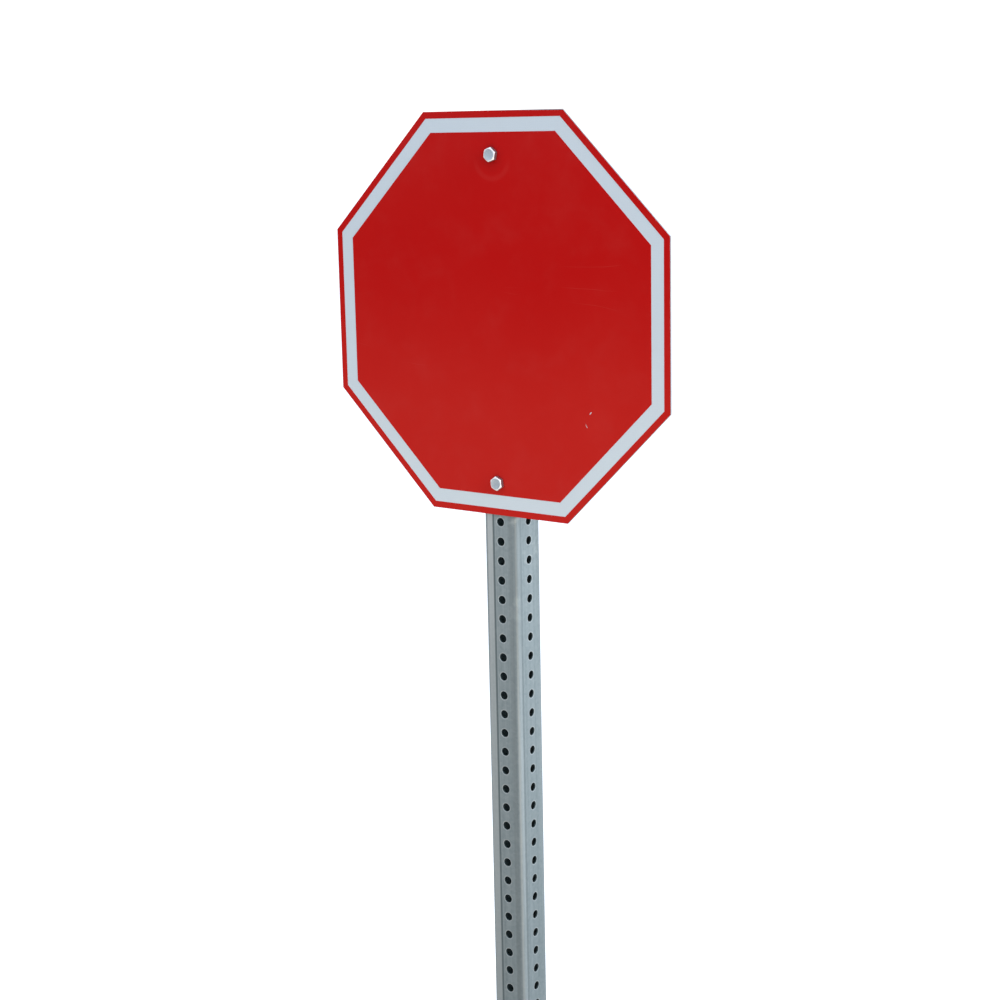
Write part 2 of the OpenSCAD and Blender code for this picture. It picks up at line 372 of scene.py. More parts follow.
# A painted shade band on the front face, between the holes and the front corner
from_shade_band = calc(tree, "ABSOLUTE", calc(tree, "SUBTRACT", x, SHADE_BAND_X))
shade_band = calc(tree, "MULTIPLY", front, remap(tree, from_shade_band, 1.0 * MM, 6.5 * MM, 1, 0, smooth=True))

long_streaks = use(tree, streaks, place, Across=190.0, Along=1.6, Detail=4.0)
short_streaks = use(tree, streaks, place, Across=900.0, Along=14.0, Detail=3.0)
spangle = use(tree, crystals, place, Scale=260.0, Mix=0.45)
stains = use(tree, blotches, place, Scale=26.0, Cover=0.36, Softness=0.08)
under_plate = remap(tree, z, 0.93, 1.07, 0.10, 0.85, smooth=True)

tone = remap(tree, long_streaks, 0.34, 0.68)
colour = blend(tree, tone, (0.240, 0.290, 0.305, 1), (0.315, 0.370, 0.390, 1))
colour = blend(tree, calc(tree, "MULTIPLY", remap(tree, spangle, 0.25, 0.8), 0.25), colour,
               (0.47, 0.52, 0.54, 1))
# The light band is painted stronger towards the top, as painted reflection
seam_strength = remap(tree, z, 0.90, 1.05, 0.50, 0.76)
colour = blend(tree, calc(tree, "MULTIPLY", seam_side, seam_strength), colour, (0.57, 0.60, 0.605, 1))
# Painted shade band
colour = blend(tree, calc(tree, "MULTIPLY", shade_band, 0.35), colour, (0.16, 0.185, 0.19, 1))
# Weld seam, darkened partly as painted shadow
colour = blend(tree, calc(tree, "MULTIPLY", weld_seam_and_shadow, 0.85), colour, (0.11, 0.145, 0.155, 1))
# The corners get a painted highlight, broken up by streaks
colour = blend(tree, calc(tree, "MULTIPLY", corner, remap(tree, short_streaks, 0.3, 0.6, 0.1, 0.6)), colour,
               (0.46, 0.51, 0.53, 1))
# Painted shade on the corners, stronger towards the top
colour = blend(tree, calc(tree, "MULTIPLY", corner, remap(tree, z, 0.82, 1.0, 0.0, 0.5)), colour,
               (0.15, 0.18, 0.19, 1))
# Painted shade along the fold
colour = blend(tree, calc(tree, "MULTIPLY", fold_shade, 0.45), colour, (0.17, 0.20, 0.21, 1))
# Painted highlight on the ridge
colour = blend(tree, calc(tree, "MULTIPLY", ridge_highlight, 0.35), colour, (0.48, 0.52, 0.53, 1))
colour = blend(tree, calc(tree, "MULTIPLY", stains, under_plate), colour, (0.52, 0.56, 0.56, 1))
# Painted highlight round the holes
colour = blend(tree, calc(tree, "MULTIPLY", hole_rim_highlight, 0.55), colour, (0.62, 0.67, 0.68, 1))
# The tube is darker towards the bottom
darker_towards_bottom = remap(tree, z, 0.45, 1.05, 0.30, 0.0)
colour = blend(tree, darker_towards_bottom, colour, (0.035, 0.055, 0.068, 1))
# The inside of the tube and the hole walls are painted near black, as painted shade
colour = blend(tree, calc(tree, "MULTIPLY", inside, 0.92), colour, (0.030, 0.058, 0.064, 1))
roughness = remap(tree, short_streaks, 0.3, 0.7, 0.42, 0.60)
metal = calc(tree, "SUBTRACT", 0.35, calc(tree, "MULTIPLY", inside, 0.3))
plug(tree, shader, Base_Color=colour, Roughness=roughness, Metallic=metal)
relief = calc(tree, "ADD", calc(tree, "MULTIPLY", short_streaks, 0.6), calc(tree, "MULTIPLY", spangle, 0.25))
bump(tree, shader, calc(tree, "SUBTRACT", relief, calc(tree, "MULTIPLY", weld_seam_and_shadow, 0.8)), 0.0002, 0.35)
print("galvanised steel:", len(tree.nodes), "nodes")

# %% [markdown]
# The small fasteners are zinc plated: smoother and brighter than the dipped tube, with a faint mottle
# and fine marks from the wrench. Their faces along the axis are painted darker as shade, and the chamfer
# rims of the bolt heads are painted white as a highlight.
# The blank is mill-finish aluminium, with grain along the rolling
# direction and dull oxidised blotches.

# %% Zinc plate and bare aluminium
zinc, tree, shader, place = material("zinc_plated_steel")
mottle = use(tree, crystals, place, Scale=900.0, Mix=0.3)
marks = use(tree, scratches, place, Scale=420.0, Width=0.03, Cover=0.5)
grime = use(tree, blotches, place, Scale=300.0, Cover=0.30, Softness=0.1)
painted_rim_highlight = add(tree, "ShaderNodeAttribute", attribute_name="painted_rim_highlight").outputs["Fac"]
colour = blend(tree, remap(tree, mottle, 0.2, 0.8), (0.66, 0.74, 0.82, 1), (0.84, 0.89, 0.94, 1))
colour = blend(tree, calc(tree, "MULTIPLY", grime, 0.22), colour, (0.36, 0.39, 0.41, 1))
facing_way = add(tree, "ShaderNodeTexCoord").outputs["Normal"]
facing = add(tree, "ShaderNodeSeparateXYZ", {0: facing_way}).outputs["Y"]
# Faces that run along the axis, the sides of heads, nuts and washers, are painted darker as shade
flats = remap(tree, calc(tree, "ABSOLUTE", facing), 0.15, 0.45, 1, 0)
colour = blend(tree, calc(tree, "MULTIPLY", flats, 0.65), colour, (0.16, 0.15, 0.155, 1))
# The chamfer rims of the bolt heads are painted white, as a painted highlight
colour = blend(tree, painted_rim_highlight, colour, (1.0, 1.0, 1.0, 1))
roughness = remap(tree, calc(tree, "ADD", mottle, marks), 0.2, 1.4, 0.34, 0.52)
metal = calc(tree, "SUBTRACT", 0.85, calc(tree, "MULTIPLY", painted_rim_highlight, 0.55))
plug(tree, shader, Base_Color=colour, Roughness=roughness, Metallic=metal)
bump(tree, shader, calc(tree, "SUBTRACT", mottle, marks), 0.00008, 0.4)

aluminium, tree, shader, place = material("aluminium_plate")
turned = add(tree, "ShaderNodeMapping", {"Vector": place, "Rotation": (0, math.radians(90), 0)}).outputs[0]
grain = use(tree, streaks, turned, Across=700.0, Along=9.0, Detail=4.0)
dull = use(tree, blotches, place, Scale=11.0, Cover=0.45, Softness=0.14)
marks = use(tree, scratches, place, Scale=26.0, Width=0.012, Cover=0.45)
colour = blend(tree, remap(tree, grain, 0.3, 0.7), (0.40, 0.41, 0.42, 1), (0.55, 0.56, 0.57, 1))
colour = blend(tree, calc(tree, "MULTIPLY", dull, 0.40), colour, (0.33, 0.335, 0.335, 1))
colour = blend(tree, calc(tree, "MULTIPLY", marks, 0.25), colour, (0.72, 0.73, 0.74, 1))
roughness = calc(tree, "ADD", remap(tree, grain, 0.3, 0.7, 0.36, 0.48), calc(tree, "MULTIPLY", dull, 0.14))
plug(tree, shader, Base_Color=colour, Roughness=roughness, Metallic=0.95)
bump(tree, shader, calc(tree, "SUBTRACT", grain, marks), 0.00006, 0.35)
print("zinc plate and aluminium ready")

# %% [markdown]
# The face is white reflective sheeting with a thin clear red film on top. The white shows the faint
# honeycomb of its sealed cells and a little dust. The red lets light through to the sheeting and back,
# so it looks deep and even; only broad soft patches, dust, a few hairline scratches and a faint ring
# pressed in below the upper bolt vary it. Both are painted lighter towards the bottom as painted light,
# the white also warmer, and the red has a painted shadow round the upper bolt. Both have a clear glossy
# top, from a coat on the shader.

# %% White sheeting
SIGN_MIDDLE_Z = (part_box("sign_blank")[0].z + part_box("sign_blank")[1].z) / 2
sheeting, tree, shader, place = material("white_sheeting")
flat = add(tree, "ShaderNodeVectorMath", {0: place, 1: (1, 0, 1)}, operation="MULTIPLY").outputs[0]
cells = add(tree, "ShaderNodeTexVoronoi", {"Vector": flat, "Scale": 330.0, "Randomness": 0.15},
            feature="DISTANCE_TO_EDGE")
seams = remap(tree, cells.outputs["Distance"], 0.0, 0.09, 1, 0)
beads = add(tree, "ShaderNodeTexNoise", {"Vector": place, "Scale": 1400.0, "Detail": 2.0}).outputs[0]
film_dust = use(tree, blotches, place, Scale=15.0, Cover=0.40, Softness=0.2)
height = add(tree, "ShaderNodeSeparateXYZ", {0: place}).outputs["Z"]
# The lower part is painted lighter and warmer, as painted light
lower_painted_light = remap(tree, height, SIGN_MIDDLE_Z + 0.15, SIGN_MIDDLE_Z - 0.22, smooth=True)
colour = blend(tree, remap(tree, beads, 0.3, 0.7), (0.62, 0.70, 0.78, 1), (0.68, 0.76, 0.83, 1))
colour = blend(tree, calc(tree, "MULTIPLY", lower_painted_light, 0.45), colour, (0.74, 0.80, 0.82, 1))
colour = blend(tree, calc(tree, "MULTIPLY", seams, 0.10), colour, (0.45, 0.52, 0.60, 1))
colour = blend(tree, calc(tree, "MULTIPLY", film_dust, 0.16), colour, (0.62, 0.64, 0.66, 1))
plug(tree, shader, Base_Color=colour, Roughness=remap(tree, beads, 0.3, 0.7, 0.30, 0.40),
     Coat_Weight=0.35, Coat_Roughness=0.12)
bump(tree, shader, calc(tree, "SUBTRACT", beads, seams), 0.00005, 0.2)
print("white sheeting:", len(tree.nodes), "nodes")

# %% Red film
red_film, tree, shader, place = material("red_film")
x, y, z = add(tree, "ShaderNodeSeparateXYZ", {0: place}).outputs
patches = add(tree, "ShaderNodeTexNoise", {"Vector": place, "Scale": 5.0, "Detail": 2.0}).outputs[0]
beads = add(tree, "ShaderNodeTexNoise", {"Vector": place, "Scale": 1400.0, "Detail": 2.0}).outputs[0]
film_dust = use(tree, blotches, place, Scale=22.0, Cover=0.38, Softness=0.22)
hairlines = use(tree, scratches, place, Scale=12.0, Width=0.004, Cover=0.30)
# The lower part is painted brighter, as painted light; broad soft patches vary it
lower_painted_light = remap(tree, z, SIGN_MIDDLE_Z + 0.10, SIGN_MIDDLE_Z - 0.16, smooth=True)
lower_painted_light = calc(tree, "ADD", lower_painted_light, remap(tree, patches, 0.3, 0.7, -0.12, 0.12))
colour = blend(tree, lower_painted_light, (0.52, 0.0030, 0.0022, 1), (0.57, 0.0155, 0.0105, 1))
colour = blend(tree, calc(tree, "MULTIPLY", remap(tree, beads, 0.35, 0.7), 0.2), colour,
               (0.60, 0.010, 0.008, 1))
colour = blend(tree, calc(tree, "MULTIPLY", film_dust, 0.03), colour, (0.62, 0.20, 0.17, 1))
colour = blend(tree, calc(tree, "MULTIPLY", hairlines, 0.25), colour, (0.75, 0.25, 0.22, 1))
UPPER_BOLT_Z = (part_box("upper_bolt")[0].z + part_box("upper_bolt")[1].z) / 2
PRESS_DROP, PRESS_R = 4 * MM, 25 * MM
from_bolt = axis_distance(tree, x, calc(tree, "SUBTRACT", z, UPPER_BOLT_Z - PRESS_DROP))
from_press = calc(tree, "ABSOLUTE", calc(tree, "SUBTRACT", from_bolt, PRESS_R))
press = calc(tree, "MULTIPLY", remap(tree, from_press, 1.0 * MM, 5.0 * MM, 1, 0, smooth=True),
             remap(tree, z, UPPER_BOLT_Z, UPPER_BOLT_Z - 22 * MM, smooth=True))
# A painted shadow round the upper bolt, centred a little below it
bolt_shadow = remap(tree, from_bolt, 9 * MM, 22 * MM, 1, 0, smooth=True)
colour = blend(tree, calc(tree, "MULTIPLY", press, 0.07), colour, (0.70, 0.10, 0.09, 1))
# Painted shadow of the upper bolt
colour = blend(tree, calc(tree, "MULTIPLY", bolt_shadow, 0.12), colour, (0.22, 0.002, 0.002, 1))
roughness = remap(tree, calc(tree, "ADD", film_dust, beads), 0.3, 1.6, 0.30, 0.42)
plug(tree, shader, Base_Color=colour, Roughness=roughness, Specular_IOR_Level=0.08,
     Coat_Weight=0.15, Coat_Roughness=0.08)
bump(tree, shader, calc(tree, "SUBTRACT", beads, hairlines), 0.00003, 0.15)
print("red film:", len(tree.nodes), "nodes")

# %% [markdown]
# Every finished piece is a plain mesh at the origin with its place in its vertices, exactly like a CAD
# node, so the patterns on object coordinates stay where they are. One helper makes the object, gives it
# its finish, hides the CAD node that it stands for and lets it ride on the model's one body.

# %% Piece helpers
def smooth_by_angle(mesh, degrees=32):
    """Smooth shading that stays sharp where faces meet at more than this angle"""
    for polygon in mesh.polygons:
        polygon.use_smooth = True
    mesh.set_sharp_from_angle(angle=math.radians(degrees))


def tidy(mesh, merge=0.001 * MM):
    """Joins doubled points and turns all faces outward; returns how many edges aren't closed"""
    work = bmesh.new()
    work.from_mesh(mesh)
    bmesh.ops.remove_doubles(work, verts=work.verts, dist=merge)
    bmesh.ops.recalc_face_normals(work, faces=work.faces)
    open_edges = sum(not edge.is_manifold for edge in work.edges)
    work.to_mesh(mesh)
    work.free()
    return open_edges


def piece(name, mesh, finish, slot, *nodes):
    """An object for the mesh that stands for these CAD nodes"""
    made = bpy.data.objects.new(name, mesh)
    bpy.context.scene.collection.objects.link(made)
    if not mesh.materials:
        mesh.materials.append(finish)
    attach(made, "root")
    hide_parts(*nodes)
    triangles = sum(len(p.vertices) - 2 for p in mesh.polygons)
    print(f"{name}: {triangles} triangles")
    return made


def baked(maker, name):
    """The plain mesh that an object's modifiers make; the maker object is removed"""
    evaluated = maker.evaluated_get(bpy.context.evaluated_depsgraph_get())
    mesh = bpy.data.meshes.new_from_object(evaluated)
    mesh.name = name
    bpy.data.objects.remove(maker)
    return mesh


print("piece helpers ready")

# %% [markdown]
# The tube repeats itself at every pitch and on all four sides, so only one cell is drawn: the flat
# round one hole, with the edge that the punch rolled over, and one rounded corner. Geometry Nodes then
# sets a row of cells along the tube, turns that row to the four sides, and merges the borders. Cutting
# hundreds of holes with booleans would give the same shape with a rougher mesh and far more waiting.

# %% One cell of the tube
HOLE_EDGE_R = 0.2 * MM
FLAT_MARGIN = 1.0 * MM
# Of the rings of faces round a hole, from the outside in, this one is its wall and the next the inner flat
HOLE_WALL_RING = 4
HOLE_POINTS = 24


def hole_angles(half_width, half_height):
    """HOLE_POINTS angles round a hole, so that four of them point at the corners of the cell"""
    corner = math.atan2(half_height, half_width)
    step = (math.pi / 2 - corner) / 4
    quarter = [0, corner / 2] + [corner + i * step for i in range(4)]
    half = quarter + [math.pi / 2] + [math.pi - a for a in reversed(quarter[1:])]
    return half + [a + math.pi for a in half]


def tube_cell(half_width, wall, corner_r):
    """A mesh of one pitch of one side: a flat with a hole, and the corner on its right"""
    flat, half_height = half_width - corner_r, HOLE_PITCH / 2
    panel = flat - FLAT_MARGIN
    angles = hole_angles(panel, half_height)
    border = [min(panel / max(abs(math.cos(a)), 1e-9), half_height / max(abs(math.sin(a)), 1e-9))
              for a in angles]
    rings = [(border, 0), ([HOLE_R + HOLE_EDGE_R + 0.6 * MM] * HOLE_POINTS, 0)]
    for tilt in (0, 0.5, 1):
        reach = HOLE_EDGE_R * (1 - math.sin(tilt * math.pi / 2))
        rings.append(([HOLE_R + reach] * HOLE_POINTS, HOLE_EDGE_R * (1 - math.cos(tilt * math.pi / 2))))
    rings += [([HOLE_R] * HOLE_POINTS, wall), (border, wall)]
    work = bmesh.new()
    inner_side = work.faces.layers.float.new("inner_side")
    loops = [[work.verts.new((r * math.cos(a), depth - half_width, r * math.sin(a)))
              for r, a in zip(radii, angles)] for radii, depth in rings]
    for number, (outer, inner) in enumerate(zip(loops, loops[1:])):
        for i in range(HOLE_POINTS):
            face = work.faces.new((outer[i - 1], outer[i], inner[i], inner[i - 1]))
            face[inner_side] = float(number >= HOLE_WALL_RING)
    corner = math.atan2(half_height, panel)
    heights = [panel * math.tan(a) for a in (-corner, -corner / 2, 0, corner / 2, corner)]

    def strip(path, marked):
        columns = [[work.verts.new((across, depth, height)) for height in heights] for across, depth in path]
        for left, right in zip(columns, columns[1:]):
            for i in range(4):
                face = work.faces.new((left[i], right[i], right[i + 1], left[i + 1]))
                face[inner_side] = marked

    outside = (half_width, corner_r, 6, 0.0)
    underside = (half_width - wall, corner_r - wall, 3, 1.0)
    for level, radius, steps, marked in (outside, underside):
        turns = [i * math.pi / 2 / steps for i in range(steps + 1)]
        strip([(-flat, -level), (-panel, -level)], marked)
        corner_path = [(flat + radius * math.sin(t), -flat - radius * math.cos(t)) for t in turns]
        strip([(panel, -level)] + corner_path, marked)
    mesh = bpy.data.meshes.new("tube_cell")
    work.to_mesh(mesh)
    work.free()
    return mesh


print("tube cell:", len(tube_cell(POST_HALF, POST_WALL, POST_CORNER_R).polygons), "faces")

# %% The tube tree
def socket_id(group, name):
    """The identifier of a group's input, which a modifier needs instead of its name"""
    return next(item.identifier for item in group.interface.items_tree
                if item.name == name and item.in_out == "INPUT")


def geometry_tree(name, sockets):
    """An empty Geometry Nodes tree with a geometry input and output and the named inputs"""
    group = bpy.data.node_groups.new(name, "GeometryNodeTree")
    group.interface.new_socket("Geometry", in_out="INPUT", socket_type="NodeSocketGeometry")
    group.interface.new_socket("Geometry", in_out="OUTPUT", socket_type="NodeSocketGeometry")
    for label, kind in sockets.items():
        group.interface.new_socket(label, in_out="INPUT", socket_type=kind)
    return group, add(group, "NodeGroupInput").outputs


def end_tree(group, geometry, finish):
    """Realize Instances, Set Material and the output"""
    real = add(group, "GeometryNodeRealizeInstances", {0: geometry})
    painted = add(group, "GeometryNodeSetMaterial", {"Geometry": real.outputs[0], "Material": finish})
    add(group, "NodeGroupOutput", {0: painted.outputs[0]})


def run_tree(name, mesh, group, **values):
    """The mesh that a tree makes from this mesh with these input values"""
    maker = bpy.data.objects.new(name, mesh)
    bpy.context.scene.collection.objects.link(maker)
    modifier = maker.modifiers.new("maker", "NODES")
    modifier.node_group = group
    for label, value in values.items():
        modifier[socket_id(group, label.replace("_", " "))] = value
    return baked(maker, name)


tube_tree, given = geometry_tree("perforated_tube", {"Pitch": "NodeSocketFloat", "Pitches": "NodeSocketInt",
                                                     "Bottom": "NodeSocketFloat"})
first = calc(tube_tree, "ADD", given["Bottom"], calc(tube_tree, "MULTIPLY", given["Pitch"], 0.5))
start = add(tube_tree, "ShaderNodeCombineXYZ", {2: first})
offset = add(tube_tree, "ShaderNodeCombineXYZ", {2: given["Pitch"]})
rows = add(tube_tree, "GeometryNodeMeshLine", {"Count": given["Pitches"], "Start Location": start.outputs[0],
                                               "Offset": offset.outputs[0]}, mode="OFFSET")
side = add(tube_tree, "GeometryNodeInstanceOnPoints", {"Points": rows.outputs[0],
                                                       "Instance": given["Geometry"]})
sides = add(tube_tree, "GeometryNodeMeshLine", {"Count": 4, "Offset": (0, 0, 0)}, mode="OFFSET")
quarter = calc(tube_tree, "MULTIPLY", add(tube_tree, "GeometryNodeInputIndex").outputs[0], math.pi / 2)
spin = add(tube_tree, "FunctionNodeEulerToRotation",
           {0: add(tube_tree, "ShaderNodeCombineXYZ", {2: quarter}).outputs[0]})
around = add(tube_tree, "GeometryNodeInstanceOnPoints",
             {"Points": sides.outputs[0], "Instance": side.outputs[0], "Rotation": spin.outputs[0]})
end_tree(tube_tree, around.outputs[0], galvanised)
print("tube tree:", len(tube_tree.nodes), "nodes")

# %% Post and sleeve
SLEEVE_WALL = 2.7 * MM


def close_ends(mesh):
    """Joins the outer and the inner border at both ends of a tube, like a sawn end"""
    work = bmesh.new()
    work.from_mesh(mesh)
    bmesh.ops.remove_doubles(work, verts=work.verts, dist=0.01 * MM)
    levels = (min(v.co.z for v in work.verts), max(v.co.z for v in work.verts))
    for level in levels:
        border = [e for e in work.edges
                  if e.is_boundary and all(abs(v.co.z - level) < 0.1 * MM for v in e.verts)]
        bmesh.ops.triangle_fill(work, use_beauty=True, use_dissolve=False, edges=border)
    work.to_mesh(mesh)
    work.free()


def perforated_tube(node, wall, corner_r):
    low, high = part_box(node)
    pitches = round((high.z - low.z) / HOLE_PITCH)
    cell = tube_cell(high.x, wall, corner_r)
    mesh = run_tree(node + "_tube", cell, tube_tree, Pitch=HOLE_PITCH, Pitches=pitches, Bottom=low.z)
    close_ends(mesh)
    print(node, "open edges", tidy(mesh), "pitches", pitches)
    smooth_by_angle(mesh)
    return piece(node + "_tube", mesh, galvanised, "galvanised_steel", node)


perforated_tube("post", POST_WALL, POST_CORNER_R)
SLEEVE_CORNER_R = POST_CORNER_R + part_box("anchor_sleeve")[1].x - POST_HALF
perforated_tube("anchor_sleeve", SLEEVE_WALL, SLEEVE_CORNER_R)

# %% [markdown]
# The plate and its films are flat shapes with holes, which is what a 2D curve is good at: an outline
# inside another is a hole, an outline inside that is filled again, and extrusion gives the thickness.
# The blank gets a small rolled edge from the curve's bevel. The red film is cut a little smaller than
# the plate and a separate band follows its rim, so the white sheeting shows between them as a border.

# %% Flat layers
SIGN_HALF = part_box("sign_blank")[1].x


def circle(centre, radius, count=24):
    """The points of a circle"""
    return [(centre[0] + radius * math.cos(a), centre[1] + radius * math.sin(a))
            for a in (math.radians(360 * i / count) for i in range(count))]


def octagon(half):
    """The corners of an octagon with this half width across its flats"""
    return [(half / math.cos(math.pi / 8) * math.cos(a), half / math.cos(math.pi / 8) * math.sin(a))
            for a in (math.radians(22.5 + 45 * i) for i in range(8))]


def bolt_holes():
    """The outlines of the two bolt holes, as seen from the plate's middle"""
    middles = [(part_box(node)[0].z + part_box(node)[1].z) / 2
               for node in ("upper_flat_washer", "lower_flat_washer")]
    return [circle((0, z - SIGN_MIDDLE_Z), HOLE_R) for z in middles]


def trimmed_octagon(inset=0.0):
    """The film's outline: short of the plate near its upper right corner, with a few nicks beside it"""
    corners = octagon(SIGN_HALF - inset)
    short, top = 1.3 * MM, SIGN_HALF - inset
    right, left = corners[1], corners[2]
    along_top = [(right[0] - 0.2 * MM, top - short), (0.25 * right[0], top - 0.25 * short)]
    for across in (-4 * MM, -17 * MM, -21 * MM):
        along_top += [(across + 0.9 * MM, top), (across, top - 0.9 * MM), (across - 0.5 * MM, top)]
    slant = (right[0] + short, top - short)
    return [corners[0], slant, *along_top, left, *corners[3:]]


def chip(middle, length, width, lean, bow=0.0):
    """A sliver where the film has come off: pointed at both ends, leaning this many degrees"""
    rim = []
    for side in (1, -1):
        for i in range(7):
            t = side * (i / 7 * 2 - 1)
            rim.append((t * length / 2, (side * width / 2 + bow) * (1 - t * t) - bow / 2))
    c, s = math.cos(math.radians(lean)), math.sin(math.radians(lean))
    return [(middle[0] + x * c - y * s, middle[1] + x * s + y * c) for x, y in rim]


def flat_layer(name, outlines, node, rolled=0.0):
    """A mesh of the filled outlines, as thick and as deep as the CAD node"""
    front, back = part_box(node)[0].y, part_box(node)[1].y
    curve = bpy.data.curves.new(name, "CURVE")
    curve.dimensions, curve.fill_mode = "2D", "BOTH"
    curve.extrude, curve.bevel_depth, curve.bevel_resolution = (back - front) / 2 - rolled, rolled, 2
    curve.offset = -rolled
    for outline in outlines:
        line = curve.splines.new("POLY")
        line.points.add(len(outline) - 1)
        for point, (across, up) in zip(line.points, outline):
            point.co = (across, up, 0, 1)
        line.use_cyclic_u = True
    maker = bpy.data.objects.new(name, curve)
    bpy.context.scene.collection.objects.link(maker)
    mesh = baked(maker, name)
    upright = Matrix.Rotation(math.pi / 2, 4, "X")
    mesh.transform(Matrix.Translation((0, (front + back) / 2, SIGN_MIDDLE_Z)) @ upright)
    print(name, "open edges", tidy(mesh))
    return mesh


blank = flat_layer("blank_plate", [octagon(SIGN_HALF), *bolt_holes()], "sign_blank", rolled=0.25 * MM)
smooth_by_angle(blank)
piece("blank_plate", blank, aluminium, "aluminium_plate", "sign_blank")
white = flat_layer("sheeting_layer", [trimmed_octagon(0.3 * MM), *bolt_holes()], "white_sheeting")
piece("sheeting_layer", white, sheeting, "white_sheeting", "white_sheeting")

# %% Red films
field_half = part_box("red_field_film")[1].x
EDGE_BAND = 8.3 * MM
band_half = SIGN_HALF - EDGE_BAND
chips = [chip((139 * MM, -110 * MM), 5.2 * MM, 1.4 * MM, 48),
         chip((133 * MM, -126 * MM), 7 * MM, 0.9 * MM, 118, 0.8 * MM)]
field = flat_layer("field_film", [octagon(field_half), *bolt_holes(), *chips], "red_field_film")
piece("field_film", field, red_film, "red_film", "red_field_film")
edge = flat_layer("edge_film", [trimmed_octagon(), octagon(band_half)], "red_edge_film")
piece("edge_film", edge, red_film, "red_film", "red_edge_film")

# %% [markdown]
# The fasteners are turned or forged parts, so their meshes come from rings of points. A hexagon's ring
# is a circle whose radius changes with the angle; where the corners are turned down, the height falls
# with the radius, and the curved edges of the chamfer come out by themselves.

# %% Rings
AROUND = 60


def solid_of_rings(name, rings, closed=False):
    """A mesh through rings of points; the first and the last ring are capped, or joined if closed"""
    work = bmesh.new()
    loops = [[work.verts.new(p) for p in ring] for ring in rings]
    pairs = list(zip(loops, loops[1:])) + ([(loops[-1], loops[0])] if closed else [])
    for one, two in pairs:
        for i in range(len(one)):
            work.faces.new((one[i - 1], one[i], two[i], two[i - 1]))
    if not closed:
        work.faces.new(loops[0][::-1])
        work.faces.new(loops[-1])
    bmesh.ops.recalc_face_normals(work, faces=work.faces)
    mesh = bpy.data.meshes.new(name)
    work.to_mesh(mesh)
    work.free()
    return mesh


def round_ring(radius, height, count=AROUND):
    return [(radius * math.cos(i * math.tau / count), radius * math.sin(i * math.tau / count), height)
            for i in range(count)]


def hex_radius(angle, flats):
    """How far a hexagon's edge is from its middle, with a corner at angle 0"""
    return flats / 2 / math.cos(angle % (math.pi / 3) - math.pi / 6)


def hex_ring(flats, height, chamfer_circle=None, fall=1):
    """A hexagonal ring; with a chamfer circle its height falls 30 degrees outside that circle"""
    points = []
    for i in range(AROUND):
        angle = i * math.tau / AROUND
        radius = hex_radius(angle, flats)
        drop = max(radius - chamfer_circle, 0) * math.tan(math.radians(30)) if chamfer_circle else 0
        points.append((radius * math.cos(angle), radius * math.sin(angle), height - fall * drop))
    return points


print("ring helpers ready")

# %% Thread tree
THREAD_PITCH = 1.5 * MM
THREAD_DEPTH = 0.85 * MM
thread_tree, given = geometry_tree("cut_thread", {"Radius": "NodeSocketFloat", "Depth": "NodeSocketFloat",
                                                  "Pitch": "NodeSocketFloat", "Length": "NodeSocketFloat",
                                                  "Start": "NodeSocketFloat", "Rows": "NodeSocketInt"})
sheet = add(thread_tree, "GeometryNodeMeshGrid", {"Size X": 1.0, "Size Y": 1.0, "Vertices X": 33,
                                                  "Vertices Y": given["Rows"]})
grid_place = add(thread_tree, "GeometryNodeInputPosition").outputs[0]
spot = add(thread_tree, "ShaderNodeSeparateXYZ", {0: grid_place})
turn_share = calc(thread_tree, "ADD", spot.outputs[0], 0.5)
length_share = calc(thread_tree, "ADD", spot.outputs[1], 0.5)
down = calc(thread_tree, "MULTIPLY", length_share, given["Length"])
phase = calc(thread_tree, "FRACT", calc(thread_tree, "ADD", calc(thread_tree, "DIVIDE", down, given["Pitch"]),
                                        turn_share))
off_middle = calc(thread_tree, "ABSOLUTE", calc(thread_tree, "SUBTRACT", phase, 0.5))
from_crest = calc(thread_tree, "MULTIPLY", off_middle, 2)
groove = calc(thread_tree, "MULTIPLY", given["Depth"], remap(thread_tree, from_crest, 0.12, 0.9))
to_tip = calc(thread_tree, "SUBTRACT", given["Length"], down)
taper = remap(thread_tree, to_tip, 0.0, calc(thread_tree, "MULTIPLY", given["Depth"], 1.3),
              calc(thread_tree, "MULTIPLY", given["Depth"], 1.1), 0.0)
outer = calc(thread_tree, "SUBTRACT", given["Radius"], calc(thread_tree, "MAXIMUM", groove, taper))
angle = calc(thread_tree, "MULTIPLY", turn_share, math.tau)
moved = add(thread_tree, "ShaderNodeCombineXYZ",
            {0: calc(thread_tree, "MULTIPLY", outer, calc(thread_tree, "COSINE", angle)),
             1: calc(thread_tree, "MULTIPLY", outer, calc(thread_tree, "SINE", angle)),
             2: calc(thread_tree, "SUBTRACT", given["Start"], down)})
rolled_up = add(thread_tree, "GeometryNodeSetPosition", {"Geometry": sheet.outputs[0],
                                                         "Position": moved.outputs[0]})
both = add(thread_tree, "GeometryNodeJoinGeometry")
thread_tree.links.new(given["Geometry"], both.inputs[0])
thread_tree.links.new(rolled_up.outputs[0], both.inputs[0])
end_tree(thread_tree, both.outputs[0], zinc)
print("thread tree:", len(thread_tree.nodes), "nodes")

# %% Bolts
HEX_W = 16 * MM
HEAD_H = 6.4 * MM
BOLT_R = 5.0 * MM
CHAMFER_CIRCLE = HEX_W / 2 - 0.4 * MM
THREAD_LENGTH = 26 * MM
HEAD_FACE_R = HEX_W / 2 - 0.9 * MM
SEAT_R = 0.94 * HEX_W / 2
# The head rings that are painted white as a highlight on the chamfer rims
HIGHLIGHT_RINGS = range(6, 9)
ROWS_PER_TURN = 8


